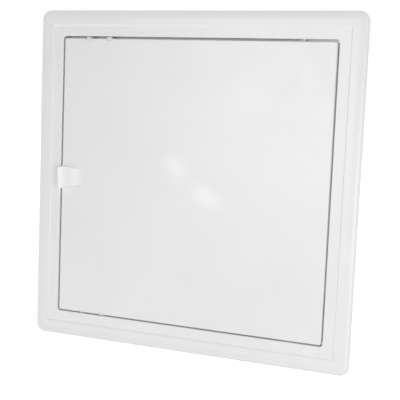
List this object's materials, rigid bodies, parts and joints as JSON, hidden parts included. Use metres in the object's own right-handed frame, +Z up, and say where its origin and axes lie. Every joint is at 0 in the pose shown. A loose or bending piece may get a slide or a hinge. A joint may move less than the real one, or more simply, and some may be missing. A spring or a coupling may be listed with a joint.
{
  "type": "bath access panel",
  "caption": "Square moulded picture-frame access panel with a flush door on pivot pins, a raised finger pull and sprung catch clips.",
  "frame": {"origin": "centre of the panel in the plane where the flange's rim sits on the wall", "axes": "+Z up, +X to the hinge side, +Y into the wall, so the front of the door faces -Y"},
  "size_m": [0.318, 0.0325, 0.318],
  "materials": {
    "frame_plastic": "satin",
    "door_plastic": "satin",
    "pull_plastic": "satin",
    "clip_plastic": "matte",
    "pin_plastic": "satin"
  },
  "bodies": {
    "frame": {"frame": "frame_plastic", "hinge_pin_upper": "pin_plastic", "hinge_pin_lower": "pin_plastic"},
    "door": {"door_leaf": "door_plastic", "finger_pull": "pull_plastic", "catch_clip_upper": "clip_plastic", "catch_clip_lower": "clip_plastic"}
  },
  "joints": [
    {"name": "door_hinge", "type": "hinge", "parent": "frame", "child": "door", "pos_m": [0.1026, 0.0005, 0], "axis": [0, 0, 1], "range_deg": [0, 95]}
  ]
}
